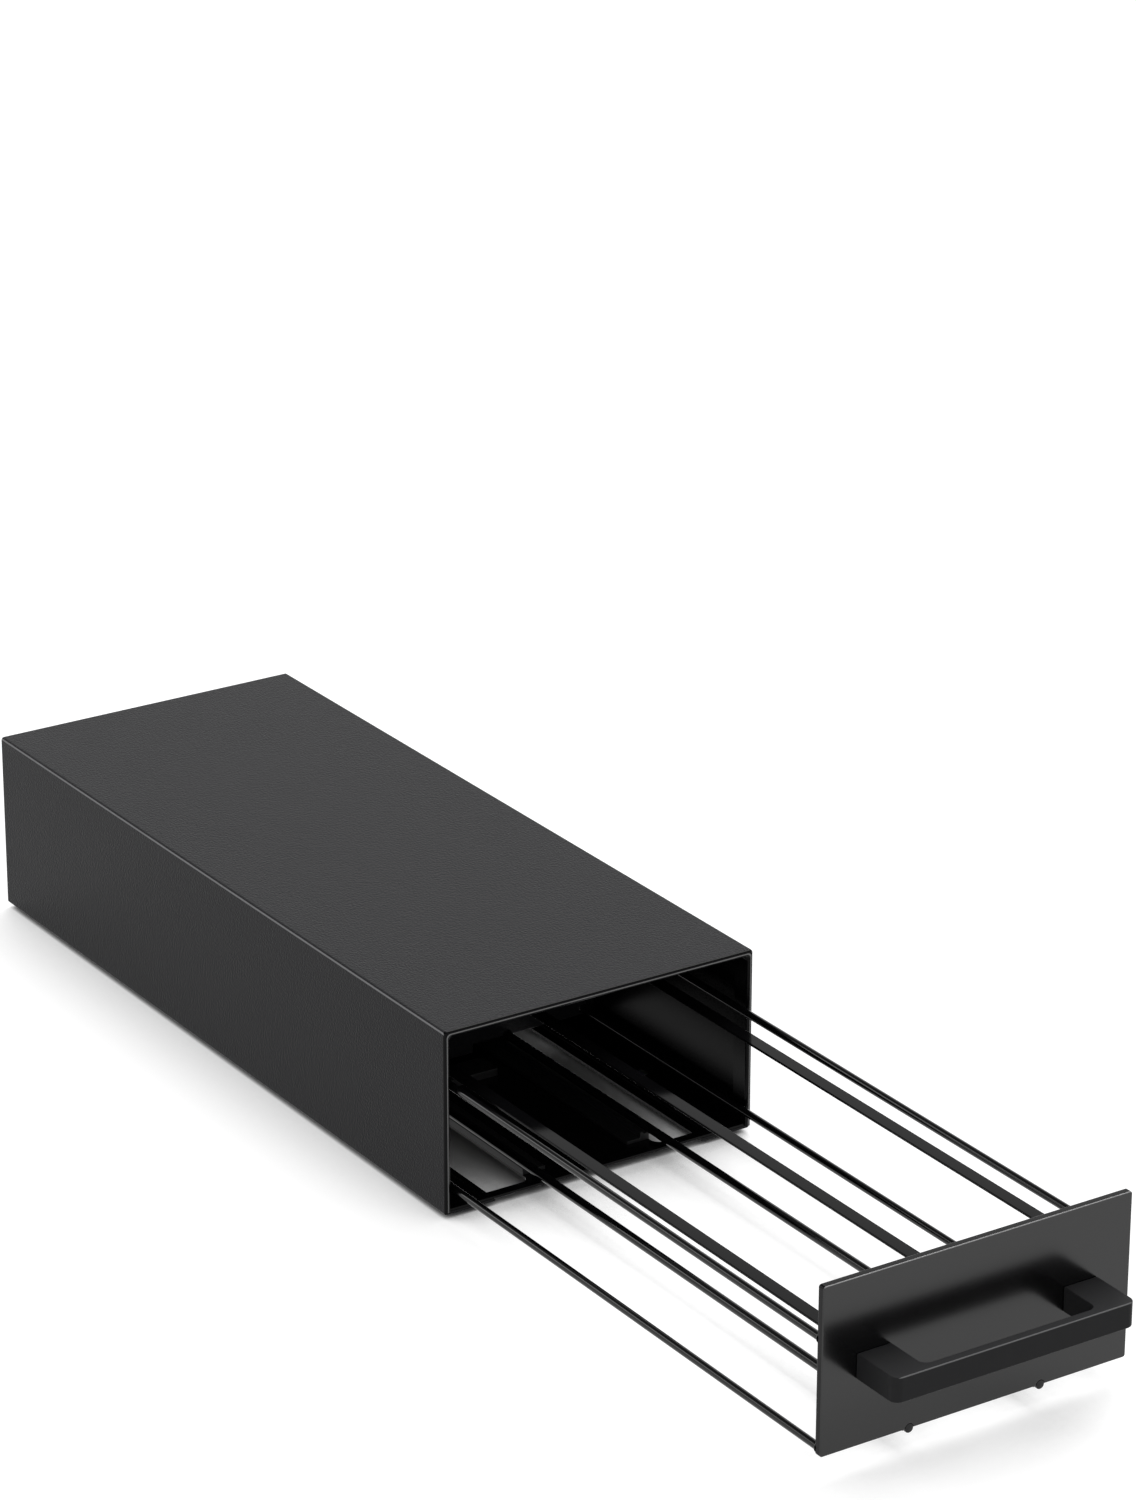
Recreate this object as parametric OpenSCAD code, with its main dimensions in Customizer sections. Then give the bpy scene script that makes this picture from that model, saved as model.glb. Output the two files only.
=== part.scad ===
// Coffee pod drawer: a folded sheet housing, open at the front, and a drawer of flat strips and wires
// between two plates that slides out of it. Millimetres. +X is right seen from the front, +Y points
// to the back and +Z up. The origin lies on the surface the feet stand on, below the middle of the
// whole object with its drawer standing open.

/* [Housing] */
// Width of the housing
housing_w = 137.4; // [130:0.1:180]
// Depth of the housing, from the nose of the rim to the back edge
housing_d = 347.3; // [310:0.1:420]
// Height of the housing above its feet
housing_h = 74.6; // [68:0.1:95]
// Thickness of the housing's sheet
shell_t = 1.0; // [0.8:0.1:1.6]
// Inside radius of the housing's bends
bend_in_r = 0.2; // [0.1:0.1:1]
// Gap between the two layers of the folded front rim
hem_gap = 0.4; // [0.1:0.1:1]
// Depth of the folded front rim
hem_d = 9; // [6:0.5:20]
// Radius of the rim's corners on the inside
hem_corner_r = 1.6; // [0.5:0.1:3]
// Width of the flanges folded in under the housing
flange_w = 22.3; // [16:0.1:28]
// Distance from the nose of the rim to the front edge of the flanges and the tray
floor_setback = 1.3; // [0:0.1:4]

/* [Bottom tray] */
// Thickness of the tray's sheet
tray_t = 1.0; // [0.8:0.1:1.6]
// Clearance between the tray's edges and the housing's sides
tray_gap = 0.3; // [0.1:0.1:1]
// Width of the tray's strip in front of the slots
tray_front_strip = 4.2; // [3:0.1:15]
// Width of the tray's cross strips between and behind the slots
tray_cross_strip = 22; // [10:1:40]
// Number of slots along each side of the tray
slots_per_side = 2; // [1:1:4]
// How far each slot reaches outward over the flange
slot_over_flange = 3.6; // [1:0.1:6]
// Radius of the slots' corners
slot_corner_r = 3.5; // [1:0.1:5]

/* [Rivets] */
// Number of rivets along each flange
rivets_per_side = 3; // [2:1:6]
// Diameter of a rivet's shank
rivet_d = 3.2; // [2.4:0.1:4.8]
// Diameter of a rivet's lower head
rivet_head_d = 6.4; // [5:0.1:8]
// Height of a rivet's lower head
rivet_head_h = 1.0; // [0.6:0.1:1.4]
// Height of the rivet's upset end on the tray
rivet_upset_h = 0.7; // [0.4:0.1:1.2]
// Diameter of the rivet's upset end on the tray
rivet_upset_d = 4.8; // [4:0.1:7]
// Distance from the housing's front and back to the first and last rivet
rivet_inset = 60; // [45:1:90]

/* [Back panel and bumpers] */
// Thickness of the back panel's sheet
back_t = 1.0; // [0.8:0.1:1.6]
// How far the back panel lies inside the housing's back edge
back_recess = 0.6; // [0:0.1:4]
// Radius of the back panel's corners, just clear of the housing's bends
back_corner_r = 0.3; // [0.3:0.1:2]
// Depth of the back panel's side flanges
back_flange_d = 7; // [4:0.5:15]
// Thickness of the rubber bumpers
bumper_t = 4.0; // [2:0.1:8]
// Diameter of the rubber bumpers
bumper_d = 12; // [8:0.5:16]
// Distance between the bumpers' centres
bumper_spacing = 80; // [40:1:100]

/* [Feet] */
// Height of the feet
foot_h = 2.0; // [1.8:0.1:6]
// Width of a foot
foot_w = 14; // [8:0.5:18]
// Length of a foot
foot_l = 30; // [12:1:60]
// Corner radius of a foot
foot_corner_r = 2; // [0.5:0.1:4]
// Distance from the housing's front and back to a foot
foot_inset_y = 6; // [3:0.5:30]
// Distance from the housing's side to a foot
foot_inset_x = 4; // [2:0.5:10]

/* [Front plate] */
// Clearance between the front plate and the rim at the sides and at the top
plate_gap = 1.1; // [0.5:0.1:3]
// Thickness of the front plate
plate_t = 3.0; // [1.5:0.1:5]
// Height of the front plate's lower edge above the housing's underside
plate_lift = 7.0; // [6:0.1:12]
// Radius of the plates' corners
plate_corner_r = 1.0; // [0.2:0.1:4]

/* [Handle] */
// Overall width of the handle
handle_w = 102; // [70:1:115]
// Height of the handle's section
handle_h = 9.6; // [7:0.1:16]
// Reach of the handle in front of the plate
handle_reach = 21.8; // [16:0.1:40]
// Thickness of the handle's front bar
handle_bar_t = 3.8; // [3:0.1:10]
// Width of each leg of the handle
handle_leg_w = 14.4; // [8:0.1:20]
// Outside corner radius of the handle
handle_corner_r = 3.4; // [0.5:0.1:7]
// Inside corner radius of the handle
handle_inner_r = 3.3; // [0.5:0.1:7]
// Height of the handle's middle above the plate's lower edge
handle_rise = 30.6; // [10:0.1:50]

/* [Handle screws] */
// Diameter of a screw's shank
screw_d = 4.0; // [3:0.1:5]
// Length of a screw's shank
screw_l = 10; // [6:0.5:15]
// Diameter of a screw's head
screw_head_d = 7.6; // [5.5:0.1:9]
// Height of a screw's head
screw_head_h = 2.4; // [1.5:0.1:3]
// Width of the slot in a screw's head
screw_slot_w = 1.0; // [0.6:0.1:1.2]
// Depth of the slot in a screw's head
screw_slot_d = 0.9; // [0.5:0.1:1.2]
// Clearance around a screw in the front plate, on the radius
screw_gap = 0.15; // [0.05:0.05:0.4]

/* [Strips] */
// Clear width between two strips, for the body of a pod
row_gap = 48.4; // [46:0.1:50]
// Width of a strip
strip_w = 5.6; // [3:0.1:8]
// Thickness of a strip
strip_t = 1.0; // [0.8:0.1:3]
// Height of the strips' top above the housing's underside
strip_top = 49.1; // [40:0.1:55]

/* [Wires] */
// Diameter of the side wires
side_wire_d = 3.0; // [2:0.1:5]
// Height of the upper side wires above the housing's underside
upper_wire_z = 50.7; // [30:0.1:62]
// Height of the lower side wires above the plates' lower edge
lower_wire_rise = 2.4; // [2:0.1:15]
// Diameter of the bottom wires
bottom_wire_d = 3.5; // [2:0.1:5]
// Distance from the middle to the bottom wires
bottom_wire_x = 28; // [22:0.1:32]

/* [Rear plate and glides] */
// Thickness of the rear plate
rear_t = 1.5; // [1:0.1:3]
// Width of the tongue below the rear plate
tongue_w = 24; // [10:1:36]
// Clearance between the tongue and the tray
tongue_gap = 1.3; // [0.5:0.1:2]
// Width of a glide
glide_w = 14; // [8:0.5:20]
// Wall thickness of a glide
glide_t = 1.5; // [1:0.1:2.5]
// How far a glide reaches down the rear plate
glide_drop = 7; // [4:0.5:12]
// Distance from the rear plate's side edge to a glide
glide_inset = 13.2; // [12:0.1:35]
// Clearance between the glides and the housing's top
glide_gap = 0.4; // [0.3:0.1:1.5]

/* [Guide rails and stop] */
// Clearance between the bottom wires and the rails below them
rail_gap = 0.3; // [0.2:0.1:0.8]
// Clearance between the bottom wires and the rails' lips beside them
rail_side_gap = 0.4; // [0.3:0.1:1]
// Thickness of a rail's lip
rail_lip_t = 1.4; // [1:0.1:3]
// How far a rail reaches outward past the middle of its wire
rail_outer = 0.5; // [0.2:0.1:3]
// Clearance between the rails' lips and the plates above them
rail_top_gap = 1.2; // [0.3:0.1:1.5]
// Distance from the nose of the rim to the front end of the rails
rail_front = 10; // [8:0.5:30]
// Distance from the back panel to the rear end of the rails
rail_rear = 12; // [8:0.5:60]
// Width of a rail's flange, inward of its lip
rail_flange_w = 6; // [5:0.5:8]
// Thickness of a rail's flange
rail_flange_t = 1.5; // [1:0.1:2.5]
// Number of pegs that hold each rail
rail_pegs = 3; // [2:1:6]
// Distance from a rail's ends to its first and last peg
rail_peg_inset = 15; // [6:0.5:40]
// Diameter of the pegs
peg_d = 2.8; // [2:0.1:3.6]
// Diameter of the pegs' staked heads
peg_head_d = 4.6; // [4:0.1:6]
// Height of the pegs' staked heads
peg_head_h = 0.8; // [0.5:0.1:1.4]
// Length of the stop block
stop_l = 12; // [8:0.5:20]
// Width of the stop block
stop_w = 22; // [10:1:30]
// Radius of the stop block's corners
stop_corner_r = 1; // [0.5:0.1:3]
// Clearance between the drawer and what it stops at
stop_gap = 0.3; // [0.2:0.1:1]

/* [Travel] */
// How far the drawer stands open at rest
open_at_rest = 230.8; // [0:0.1:235]
// Travel left from there to the stop
open_spare = 8; // [1:0.5:10]

/* [Hidden] */
$fn = 48;
// How far a cut runs past the faces it cuts
over = 1;

// Housing
z_base = foot_h;
z_top = z_base + housing_h;
y_back = (housing_d + open_at_rest + handle_reach) / 2;
y_front = y_back - housing_d;
bend_r = bend_in_r + shell_t;
hem_t = 2 * shell_t + hem_gap;
nose_r = hem_t / 2;
flange_x = housing_w / 2 - flange_w;

// Tray and what stands on it
z_tray = z_base + shell_t;
z_floor = z_tray + tray_t;
tray_half_w = housing_w / 2 - shell_t - tray_gap;
tray_y0 = y_front + floor_setback;
tray_y1 = y_back - back_recess;
slot_in_x = bottom_wire_x + rail_outer;
slot_out_x = flange_x + slot_over_flange;
slot_l = (tray_y1 - tray_y0 - tray_front_strip - slots_per_side * tray_cross_strip) / slots_per_side;
rivet_x = (slot_out_x + tray_half_w) / 2;
bumper_y = y_back - back_recess - back_t;

// Drawer, in its place at rest
plate_w = housing_w - 2 * (hem_t + plate_gap);
z_plate = z_base + plate_lift;
z_plate_top = z_top - hem_t - plate_gap;
plate_h = z_plate_top - z_plate;
y_plate = y_front - open_at_rest;
y_plate_rear = y_plate + plate_t;
drawer_d = housing_d - back_recess - back_t - bumper_t - stop_gap;
y_rear = y_plate + drawer_d;
y_rear_front = y_rear - rear_t;
z_tongue = z_floor + tongue_gap;
handle_z = z_plate + handle_rise;
screw_x = (handle_w - handle_leg_w) / 2;
side_wire_x = (plate_w - side_wire_d) / 2;
z_upper_wire = z_base + upper_wire_z;
z_lower_wire = z_plate + lower_wire_rise;
z_strip_top = z_base + strip_top;
side_strip_x = row_gap + strip_w;

// Rails and stop
z_rail = z_plate - bottom_wire_d / 2 - rail_gap;
z_lip = z_plate - rail_top_gap;
lip_x = bottom_wire_x - bottom_wire_d / 2 - rail_side_gap;
rail_in_x = lip_x - rail_lip_t;
rail_y0 = y_front + rail_front;
rail_y1 = bumper_y - rail_rear;
z_stop = (z_tongue + z_plate) / 2;
glide_x = plate_w / 2 - glide_inset - glide_w / 2;
y_stop = y_rear_front - open_spare - stop_gap;

// Colours
paint = "#2b2b2c";
plate_paint = "#323233";
wire_paint = "#1a1a1b";
plastic = "#161616";
rubber = "#101010";
steel = "#8a8c8e";

// ---- Shapes that repeat ----

// Extrudes an outline drawn in X and Z from y0 back to y1
module along_y(y0, y1) {
    translate([0, y1, 0]) rotate([90, 0, 0]) linear_extrude(y1 - y0) children();
}

// Extrudes an outline drawn in Y and Z from x0 to x1
module along_x(x0, x1) {
    translate([x0, 0, 0]) rotate([90, 0, 90]) linear_extrude(x1 - x0) children();
}

// Extrudes an outline drawn in X and Y from z0 up to z1
module along_z(z0, z1) {
    translate([0, 0, z0]) linear_extrude(z1 - z0) children();
}

// A rectangle from corner to corner with round corners
module round_rect(low, high, r) {
    translate([low[0] + r, low[1]]) square([high[0] - low[0] - 2 * r, high[1] - low[1]]);
    translate([low[0], low[1] + r]) square([high[0] - low[0], high[1] - low[1] - 2 * r]);
    for (x = [low[0] + r, high[0] - r], y = [low[1] + r, high[1] - r])
        translate([x, y]) circle(r);
}

// A rectangle that stands on y = 0 and reaches to y = -d, with its two front corners round
module front_rounded(w, d, r) {
    translate([-w / 2, r - d]) square([w, d - r]);
    translate([r - w / 2, -d]) square([w - 2 * r, r]);
    for (side = [-1, 1])
        translate([side * (w / 2 - r), r - d]) circle(r);
}

// A rod along Y
module rod_y(x, z, d, y0, y1) {
    translate([x, y1, z]) rotate([90, 0, 0]) cylinder(h = y1 - y0, d = d);
}

// A round cut through a sheet that lies between z0 and z1
module hole_z(z0, z1, d) {
    translate([0, 0, z0 - over]) cylinder(h = z1 - z0 + 2 * over, d = d);
}

// The place of peg or rivet number i of n, spread evenly between y0 and y1
function spread(i, n, y0, y1) = y0 + i * (y1 - y0) / (n - 1);

// ---- Housing ----

// The outline of the housing's inside at a given distance from its outside
module inside(inset, r) {
    round_rect([inset - housing_w / 2, z_base + inset], [housing_w / 2 - inset, z_top - inset], r);
}

// The rounded nose where the rim folds over: top, both sides and their corners
module rim_nose() {
    x = housing_w / 2 - nose_r;
    z = z_top - nose_r;
    z_low = z_base + bend_r;
    translate([-x, y_front + nose_r, z]) rotate([0, 90, 0]) cylinder(h = 2 * x, r = nose_r);
    for (side = [-1, 1])
        translate([side * x, y_front + nose_r, 0]) {
            translate([0, 0, z]) sphere(r = nose_r);
            translate([0, 0, z_low]) cylinder(h = z - z_low, r = nose_r);
        }
}

// The inner layer of the folded rim, which ends on the tray
module rim_layer() {
    along_y(y_front + nose_r, y_front + hem_d)
        intersection() {
            difference() {
                inside(shell_t + hem_gap, hem_corner_r + shell_t);
                inside(hem_t, hem_corner_r);
            }
            translate([-housing_w / 2, z_floor]) square([housing_w, housing_h]);
        }
}

// The folded sheet: top, sides and the flanges under them
module folded_sheet() {
    difference() {
        along_y(y_front + nose_r, y_back)
            difference() {
                inside(0, bend_r);
                inside(shell_t, bend_in_r);
                translate([-flange_x, z_base - over]) square([2 * flange_x, shell_t + 2 * over]);
            }
        // The flanges start behind the rim's nose
        translate([bend_r - housing_w / 2, y_front, z_base - over])
            cube([housing_w - 2 * bend_r, floor_setback, over + shell_t]);
    }
}

module rivet_places() {
    for (side = [-1, 1], i = [0 : rivets_per_side - 1])
        translate([side * rivet_x,
                   spread(i, rivets_per_side, y_front + rivet_inset, y_back - rivet_inset), 0])
            children();
}

module housing_shell() {
    color(paint)
        difference() {
            union() {
                folded_sheet();
                rim_nose();
                rim_layer();
            }
            rivet_places() hole_z(z_base, z_tray, rivet_d);
        }
}

// One side's slots, drawn for the right side
module tray_slots() {
    for (i = [0 : slots_per_side - 1]) {
        y0 = tray_y0 + tray_front_strip + i * (slot_l + tray_cross_strip);
        round_rect([slot_in_x, y0], [slot_out_x, y0 + slot_l], slot_corner_r);
    }
}

module bottom_tray() {
    color(paint)
        difference() {
            along_z(z_tray, z_floor)
                difference() {
                    translate([-tray_half_w, tray_y0]) square([2 * tray_half_w, tray_y1 - tray_y0]);
                    tray_slots();
                    mirror([1, 0]) tray_slots();
                }
            rivet_places() hole_z(z_tray, z_floor, rivet_d);
            for (side = [-1, 1])
                rail_peg_places(side) hole_z(z_tray, z_floor, peg_d);
            stop_peg_places() hole_z(z_tray, z_floor, peg_d);
        }
}

module tray_rivets() {
    color(steel)
        rivet_places() {
            translate([0, 0, z_base - rivet_head_h]) cylinder(h = rivet_head_h, d = rivet_head_d);
            translate([0, 0, z_base]) cylinder(h = shell_t + tray_t, d = rivet_d);
            translate([0, 0, z_floor]) cylinder(h = rivet_upset_h, d = rivet_upset_d);
        }
}

// A plate that stands on the tray, with a flange along each side
module back_panel() {
    half_w = housing_w / 2 - shell_t;
    color(paint) {
        along_y(bumper_y, bumper_y + back_t)
            round_rect([-half_w, z_floor], [half_w, z_top - shell_t], back_corner_r);
        for (x = [-half_w, half_w - back_t])
            translate([x, bumper_y - back_flange_d, z_floor + bend_r])
                cube([back_t, back_flange_d, z_top - z_floor - 2 * bend_r - shell_t]);
    }
}

module bumper(side) {
    color(rubber)
        rod_y(side * bumper_spacing / 2, (z_plate + z_plate_top) / 2, bumper_d, bumper_y - bumper_t, bumper_y);
}

module foot(side, end) {
    x = side * (housing_w / 2 - foot_inset_x - foot_w / 2);
    y = (y_front + y_back) / 2 + end * (housing_d / 2 - foot_inset_y - foot_l / 2);
    color(rubber)
        translate([x, y, 0])
            along_z(0, foot_h)
                round_rect([-foot_w / 2, -foot_l / 2], [foot_w / 2, foot_l / 2], foot_corner_r);
}

// ---- Guide rails and stop ----

// A peg through the tray with its staked head under it
module peg() {
    translate([0, 0, z_tray]) cylinder(h = tray_t, d = peg_d);
    translate([0, 0, z_tray - peg_head_h]) cylinder(h = peg_head_h, d = peg_head_d);
}

module rail_peg_places(side) {
    for (i = [0 : rail_pegs - 1])
        translate([side * (rail_in_x - rail_flange_w / 2),
                   spread(i, rail_pegs, rail_y0 + rail_peg_inset, rail_y1 - rail_peg_inset), 0])
            children();
}

module stop_peg_places() {
    for (side = [-1, 1])
        translate([side * stop_w / 4, y_stop - stop_l / 2, 0]) children();
}

// A right rail's outline: it lies under the wire, with a lip beside the wire and a flange for the pegs
module rail_outline() {
    translate([rail_in_x, z_floor]) square([slot_in_x - rail_in_x, z_rail - z_floor]);
    translate([rail_in_x, z_floor]) square([rail_lip_t, z_lip - z_floor]);
    translate([rail_in_x - rail_flange_w, z_floor]) square([rail_flange_w, rail_flange_t]);
}

module guide_rail(side) {
    color(plastic) {
        along_y(rail_y0, rail_y1) mirror([side > 0 ? 0 : 1, 0]) rail_outline();
        rail_peg_places(side) peg();
    }
}

module stop_block() {
    color(plastic) {
        along_z(z_floor, z_stop)
            round_rect([-stop_w / 2, y_stop - stop_l], [stop_w / 2, y_stop], stop_corner_r);
        stop_peg_places() peg();
    }
}

// ---- Drawer ----

// The outline of both plates, with half-round notches for the bottom wires
module plate_outline() {
    difference() {
        round_rect([-plate_w / 2, z_plate], [plate_w / 2, z_plate_top], plate_corner_r);
        for (side = [-1, 1])
            translate([side * bottom_wire_x, z_plate]) circle(d = bottom_wire_d);
    }
}

module front_plate() {
    color(plate_paint)
        difference() {
            along_y(y_plate, y_plate_rear) plate_outline();
            for (side = [-1, 1])
                rod_y(side * screw_x, handle_z, screw_d + 2 * screw_gap,
                      y_plate - over, y_plate_rear + over);
        }
}

// The plate at the drawer's back, with the tongue that meets the stop block
module rear_plate() {
    color(paint)
        along_y(y_rear_front, y_rear) {
            plate_outline();
            translate([-tongue_w / 2, z_tongue]) square([tongue_w, z_plate - z_tongue + over]);
        }
}

module handle() {
    inner_w = handle_w - 2 * handle_leg_w;
    color(paint)
        difference() {
            translate([0, y_plate, 0])
                along_z(handle_z - handle_h / 2, handle_z + handle_h / 2)
                    difference() {
                        front_rounded(handle_w, handle_reach, handle_corner_r);
                        front_rounded(inner_w, handle_reach - handle_bar_t, handle_inner_r);
                    }
            for (side = [-1, 1])
                rod_y(side * screw_x, handle_z, screw_d, y_plate_rear - screw_l, y_plate + over);
        }
}

module handle_screws() {
    y_head = y_plate_rear + screw_head_h;
    color(steel)
        for (side = [-1, 1])
            difference() {
                union() {
                    rod_y(side * screw_x, handle_z, screw_d, y_plate_rear - screw_l, y_plate_rear);
                    rod_y(side * screw_x, handle_z, screw_head_d, y_plate_rear, y_head);
                }
                translate([side * screw_x - screw_head_d, y_head - screw_slot_d, handle_z - screw_slot_w / 2])
                    cube([2 * screw_head_d, screw_slot_d + over, screw_slot_w]);
            }
}

// A flat strip between the two plates that the pods' rims hang on
module strip(x) {
    color(wire_paint)
        along_y(y_plate_rear, y_rear_front)
            translate([x - strip_w / 2, z_strip_top - strip_t]) square([strip_w, strip_t]);
}

module side_wire(side, z) {
    color(wire_paint) rod_y(side * side_wire_x, z, side_wire_d, y_plate_rear, y_rear_front);
}

// A bottom wire, which runs through the notches to the plates' outer faces
module bottom_wire(side) {
    color(wire_paint) rod_y(side * bottom_wire_x, z_plate, bottom_wire_d, y_plate, y_rear);
}

// A clip over the rear plate's top edge
module top_glide(side) {
    top = z_top - shell_t - glide_gap;
    color(plastic)
        along_x(side * glide_x - glide_w / 2, side * glide_x + glide_w / 2)
            difference() {
                round_rect([y_rear_front - glide_t, z_plate_top - glide_drop], [y_rear + glide_t, top],
                           min(glide_t, top - z_plate_top) / 2);
                translate([y_rear_front, z_plate_top - glide_drop - over])
                    square([rear_t, glide_drop + over]);
            }
}

housing_shell();
back_panel();
bottom_tray();
tray_rivets();
guide_rail(-1);  // guide_rail_left
guide_rail(1);  // guide_rail_right
stop_block();
bumper(-1);  // bumper_left
bumper(1);  // bumper_right
foot(-1, -1);  // foot_front_left
foot(1, -1);  // foot_front_right
foot(-1, 1);  // foot_rear_left
foot(1, 1);  // foot_rear_right
front_plate();
handle();
handle_screws();
rear_plate();
strip(-side_strip_x);  // strip_left
strip(0);  // strip_centre
strip(side_strip_x);  // strip_right
side_wire(-1, z_upper_wire);  // upper_wire_left
side_wire(1, z_upper_wire);  // upper_wire_right
side_wire(-1, z_lower_wire);  // lower_wire_left
side_wire(1, z_lower_wire);  // lower_wire_right
bottom_wire(-1);  // bottom_wire_left
bottom_wire(1);  // bottom_wire_right
top_glide(-1);  // top_glide_left
top_glide(1);  // top_glide_right
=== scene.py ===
"""Coffee pod drawer, dressed for rendering: a folded sheet housing and a drawer of strips and wires.

Sizes in the classes are millimetres. A mesh is modelled in millimetres and scaled to metres once,
when its piece is finished. +X is right seen from the front, +Y points to the back and +Z up.
"""

import logging
import math
from collections.abc import Callable, Iterable, Sequence
from dataclasses import dataclass, replace
from enum import Enum

import bmesh
import bpy
from bmesh.types import BMEdge, BMFace, BMVert
from bpy.types import ID, Material, Node, NodeSocket, NodeTree, Object, World
from mathutils import Matrix, Vector


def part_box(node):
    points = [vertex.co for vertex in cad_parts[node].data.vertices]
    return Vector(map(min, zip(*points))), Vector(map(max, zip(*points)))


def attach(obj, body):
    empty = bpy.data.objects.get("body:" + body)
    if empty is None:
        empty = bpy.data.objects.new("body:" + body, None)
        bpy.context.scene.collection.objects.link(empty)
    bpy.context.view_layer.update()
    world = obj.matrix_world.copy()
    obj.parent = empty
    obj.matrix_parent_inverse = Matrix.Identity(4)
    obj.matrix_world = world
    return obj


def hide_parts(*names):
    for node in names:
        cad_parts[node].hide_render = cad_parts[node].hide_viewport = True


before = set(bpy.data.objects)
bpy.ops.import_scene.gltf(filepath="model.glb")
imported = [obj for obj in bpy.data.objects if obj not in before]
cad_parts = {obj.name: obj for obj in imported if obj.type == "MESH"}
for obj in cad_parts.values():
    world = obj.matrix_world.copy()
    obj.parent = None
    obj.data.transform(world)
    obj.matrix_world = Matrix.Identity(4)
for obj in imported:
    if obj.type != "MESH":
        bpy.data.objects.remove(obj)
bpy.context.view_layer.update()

LOG = logging.getLogger("coffee_pod_drawer")
MM = 0.001
UP = Vector((0, 0, 1))
BACK = Vector((0, 1, 0))
RIGHT = Vector((1, 0, 0))
# The mark on points that carry a painted highlight
HIGHLIGHT_MARK = "painted_highlight"
# Faces that meet below the first angle are shaded as one, and edges above the second are rounded
SMOOTH_BELOW = math.radians(32)
SHARP_ABOVE = math.radians(50)
# Points nearer than this, in millimetres, lie in one place
SAME = 1e-4
# A point further than this from a level, in millimetres, is clear of it
NEAR = 0.1
# A face is an underside where its normal's Z is below this
DOWNWARD = -0.9

Point = tuple[float, float, float]
Profile = tuple[tuple[float, float], ...]


class Body(Enum):
    """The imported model's bodies."""

    HOUSING = "housing"
    DRAWER = "drawer"


class Side(Enum):
    """The two sides of the object, with the sign of X on each."""

    LEFT = -1
    RIGHT = 1

    @property
    def word(self) -> str:
        """The side's name as it stands in the names of nodes and pieces."""
        return self.name.lower()


# ---- Colours, nodes and objects ----


def linear(code: str) -> tuple[float, float, float, float]:
    """Turns an sRGB hex colour into Blender's linear one.

    Args:
        code: six hex digits.
    Returns:
        Red, green, blue and alpha.
    """
    parts = [int(code[i : i + 2], 16) / 255 for i in (0, 2, 4)]
    flat = [p / 12.92 if p <= 0.04045 else ((p + 0.055) / 1.055) ** 2.4 for p in parts]
    return flat[0], flat[1], flat[2], 1.0


def add_node(tree: NodeTree, kind: str, settings: dict | None = None, links: dict | None = None) -> Node:
    """Adds one node to a shader tree.

    Args:
        tree: the tree.
        kind: the node's type, such as Bump.
        settings: values by the name or number of a property or an input.
        links: output sockets by the name or number of the input they feed.
    Returns:
        The new node.
    """
    node = tree.nodes.new(f"ShaderNode{kind}")
    for name, value in (settings or {}).items():
        if isinstance(name, str) and hasattr(node, name):
            setattr(node, name, value)
        else:
            node.inputs[name].default_value = value
    for name, socket in (links or {}).items():
        tree.links.new(socket, node.inputs[name])
    return node


def per_metre(size_mm: float) -> float:
    """The scale at which a pattern repeats every size_mm, on coordinates in metres."""
    return 1 / (size_mm * MM)


def empty_tree(owner: Material | World) -> NodeTree:
    """Gives a material or a world an empty shader tree, and returns the tree."""
    owner.use_nodes = True
    owner.node_tree.nodes.clear()
    return owner.node_tree


def add_object(name: str, data: ID) -> Object:
    """Adds an object at the origin of the scene."""
    made = bpy.data.objects.new(name, data)
    bpy.context.scene.collection.objects.link(made)
    return made


# ---- Finishes ----


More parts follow.
